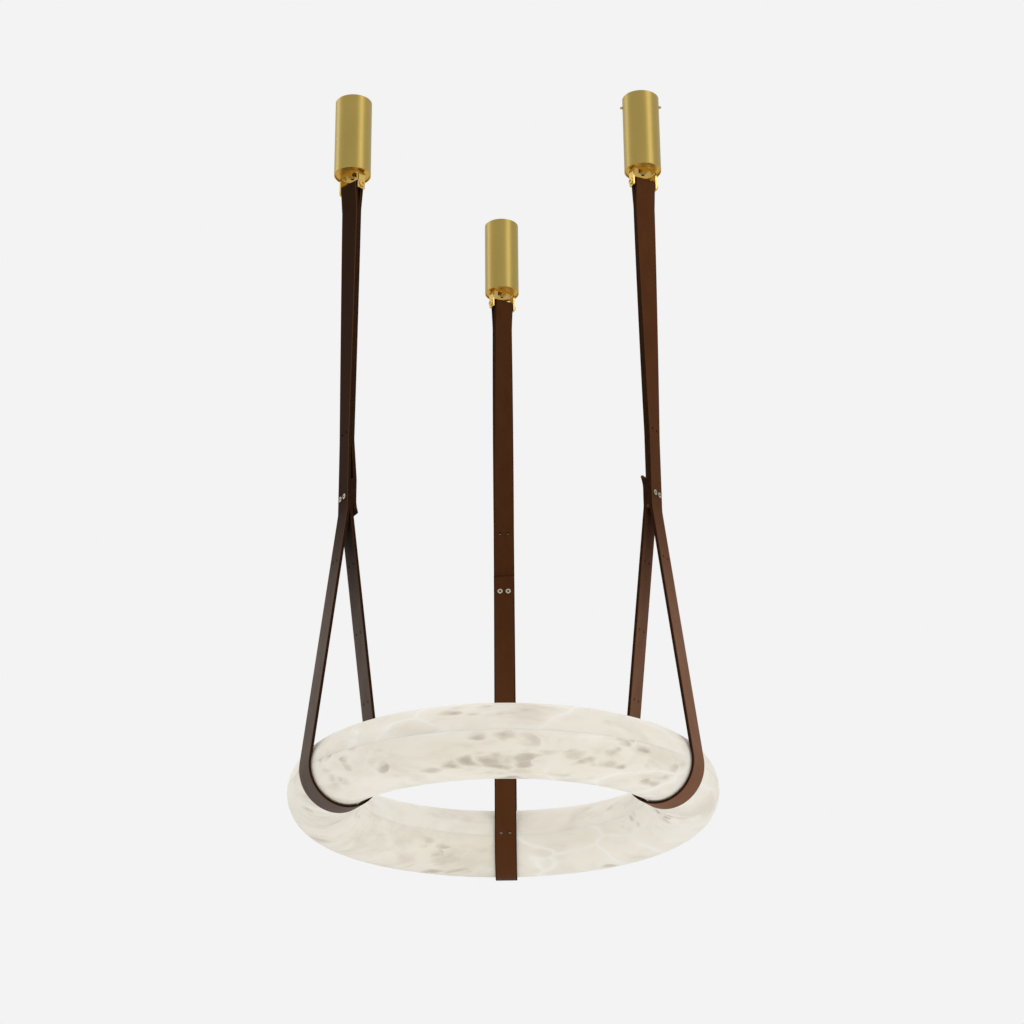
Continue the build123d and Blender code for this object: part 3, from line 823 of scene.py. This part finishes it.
def alabaster(name, shift, cream, shade, crowd, cracks):
    """Honed alabaster: cream, with herds of grey-beige islands along its bed and pale healed cracks.

    shift picks a part of the block, crowd is how readily islands show, and cracks how readily veins do.
    """
    material, place = start_material(name)
    veil_colour = (0.640, 0.582, 0.488)
    island_colour = (0.470, 0.408, 0.325)
    halo_colour = (0.880, 0.850, 0.785)
    vein_colour = (0.925, 0.908, 0.866)
    grain_depth = 0.00010
    moved = place.node("VectorMath", {"operation": "ADD"}, {0: place, 1: shift})
    bed = moved.stretch(*bed_squeeze)
    shaken = bed.wander(14.0, 0.07)
    grain = bed.noise(90, 5, 0.65, 0.3)

    # Islands: some cells of the stone, ragged at their edges and thickest in the herds
    crowded = 0
    for middle, reach in herds:
        apart = place.node("VectorMath", {"operation": "DISTANCE"}, {0: place, 1: middle}, "Value")
        crowded = crowded + (1 - apart.step(herd_core * reach, reach))
    herd = (bed.noise(5.5) + 0.16 * crowded + crowd).step(0.52, 0.66)
    cell = {"Vector": shaken, "Scale": island_scale}
    chosen = shaken.node("TexVoronoi", {}, cell, "Color").axis(0).step(0.05, 0.75)
    ragged = moved.stretch(1, 1.3, 1.5).noise(48, 3, 0.55)
    spot = 1 - (shaken.node("TexVoronoi", {}, cell) + 0.6 * ragged).step(0.38, 0.92)
    island = herd * chosen * spot * (0.45 + 0.7 * grain)

    # Veils: clouds, and streaks that deepen among the herds, over a slow haze
    haze = bed.noise(4.5).step(0.36, 0.66)
    cloud = shaken.noise(9, 5, 0.6).step(0.45, 0.72)
    streaks = shaken.stretch(0.5, 0.5, 1.6).noise(26, 5, 0.65).step(0.50, 0.78)
    veil = 0.50 * cloud + 0.10 * cloud * crowded + 0.38 * streaks * (0.5 + 0.5 * herd)

    # Veins: cracks between large cells, which fade in and out, each in a clear halo, more to the right
    bent = moved.stretch(1, 1, 2.4).wander(7.0, 0.13)
    cracked = {"Vector": bent, "Scale": crack_scale}
    split = bent.node("TexVoronoi", {"feature": "DISTANCE_TO_EDGE"}, cracked)
    course = (bed.noise(3.0) + 0.60 * place.axis(0) + cracks).step(0.46, 0.60)
    healed = moved.noise(16, 3, 0.6).step(0.34, 0.56)
    vein = course * (0.30 + 0.70 * healed) * (1 - split.step(0.0, vein_reach))
    halo = course * (1 - split.step(0.0, halo_reach))

    veiled = veil.tint(haze.tint(cream, shade), veil_colour)
    spotted = island.tint(veiled, island_colour)
    cleared = (0.45 * halo).tint(spotted, halo_colour)
    stone = (0.55 * vein).tint(cleared, vein_colour)
    sockets = {
        "Base Color": stone,
        "Roughness": 0.42 + 0.12 * grain,
        "Subsurface Weight": 0.35,
        "Subsurface Radius": (1.0, 0.85, 0.65),
        "Subsurface Scale": 0.008,
        "Specular IOR Level": 0.35,
        # Painted glow: the stone gives off a faint light in its own colour all over, standing in for the LED
        # strip inside and lifting its shade.
        "Emission Color": stone,
        "Emission Strength": 0.08,
    }
    end_material(place, grain, grain_depth, sockets)
    return material


stones = {
    "upper": {
        "shift": (3.1, 0.7, 5.3),
        "cream": (0.878, 0.842, 0.762),
        "shade": (0.825, 0.780, 0.692),
        "crowd": -0.06,
        "cracks": 0.04,
    },
    "lower": {
        "shift": (7.4, 2.6, 1.9),
        "cream": (0.868, 0.831, 0.744),
        "shade": (0.810, 0.765, 0.668),
        "crowd": 0.02,
        "cracks": 0.03,
    },
}
for half, turned in (("upper", 1), ("lower", -1)):
    outline = [(ring_radius + out, ring_level + turned * up) for out, up in half_profile(half == "upper")]
    shell = place_piece(f"alabaster_{half}", lathe_mesh(f"alabaster_{half}", outline, ring_steps))
    smooth(shell, sharpest=30)
    shell.data.materials.append(alabaster(f"alabaster_{half}", **stones[half]))
    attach(shell, "ring_body")
    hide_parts(f"ring_{half}")


# Studio: a wide pale floor far below, a white surround and four soft lamps.
# Two tall lamps draw the bright bands on the brass, one lights the ring from below and one from the front.
# The camera looks up from under the ring, as in the photograph.

floor_level = -2.60
floor_half = 40.0
surround_colour = (0.896, 0.896, 0.896, 1.0)
fill_colour = (1.0, 0.99, 0.97, 1.0)
fill_strength = 0.78
camera_place = Vector((0.04823, -3.22221, -2.00712))
camera_pitch = radians(23.232)
camera_yaw = radians(-0.578)
camera_roll = radians(-0.529)
lens_length = 84.25
sensor_width = 36.0


def pale_floor():
    """Dull pale grey, very faintly speckled."""
    material, place = start_material("pale_floor")
    speckle = place.noise(40, 4)
    sockets = {
        "Base Color": speckle.tint((0.80, 0.80, 0.80), (0.84, 0.84, 0.84)),
        "Roughness": 0.9,
        "Specular IOR Level": 0.1,
    }
    surface = place.node("BsdfPrincipled", {}, sockets)
    place.node("OutputMaterial", {}, {"Surface": surface})
    return material


floor_data = bpy.data.meshes.new("floor")
corners = [(floor_half * x, floor_half * y, floor_level) for x, y in ((-1, -1), (1, -1), (1, 1), (-1, 1))]
floor_data.from_pydata(corners, [], [(0, 1, 2, 3)])
floor_piece = place_piece("floor", floor_data)
floor_data.materials.append(pale_floor())

world = bpy.data.worlds.new("surround")
bpy.context.scene.world = world
world.use_nodes = True
world.node_tree.nodes.clear()
sky = Wire(world.node_tree)
straight = sky.node("LightPath", output="Is Camera Ray")
mirrored = sky.node("LightPath", output="Is Glossy Ray")
through = sky.node("LightPath", output="Is Transmission Ray")
shown = sky.maths("MAXIMUM", straight, sky.maths("MAXIMUM", mirrored, through))
seen = sky.node("Background", {}, {"Color": surround_colour, "Strength": 1.0})
felt = sky.node("Background", {}, {"Color": fill_colour, "Strength": fill_strength})
both = sky.node("MixShader", {}, {0: shown, 1: felt, 2: seen})
sky.node("OutputWorld", {}, {"Surface": both})


def soft_lamp(name, place, aim, width, height, power):
    """Soft box that faces a point."""
    data = bpy.data.lights.new(name, "AREA")
    data.shape = "RECTANGLE"
    data.size = width
    data.size_y = height
    data.energy = power
    lamp = bpy.data.objects.new(name, data)
    bpy.context.scene.collection.objects.link(lamp)
    lamp.location = place
    lamp.rotation_euler = (Vector(aim) - Vector(place)).to_track_quat("-Z", "Y").to_euler()


soft_lamp("right_front", place=(2.5, -2.0, 1.7), aim=(0, 0, -0.3), width=1.3, height=2.8, power=20)
soft_lamp("left_side", place=(-2.9, 0.7, 1.6), aim=(0, 0, -0.3), width=1.0, height=2.8, power=14)
soft_lamp("from_below", place=(0.2, -0.3, -2.4), aim=(0, 0.1, -1.05), width=2.0, height=2.0, power=6)
soft_lamp("front", place=(-0.4, -4.5, -0.6), aim=(0, 0, -1.05), width=2.0, height=2.0, power=8)

level_share = cos(camera_pitch)
ahead = Vector((sin(camera_yaw) * level_share, cos(camera_yaw) * level_share, sin(camera_pitch)))
right = Vector((cos(camera_yaw), -sin(camera_yaw), 0))
up = right.cross(ahead)
rolled_right = cos(camera_roll) * right + sin(camera_roll) * up
rolled_up = cos(camera_roll) * up - sin(camera_roll) * right
camera_turn = Matrix((rolled_right, rolled_up, -ahead)).transposed().to_4x4()
camera_data = bpy.data.cameras.new("camera")
camera_data.sensor_width = sensor_width
camera_data.lens = lens_length
camera = bpy.data.objects.new("camera", camera_data)
bpy.context.scene.collection.objects.link(camera)
camera.matrix_world = Matrix.Translation(camera_place) @ camera_turn
bpy.context.scene.camera = camera
bpy.context.scene.view_settings.view_transform = "Standard"
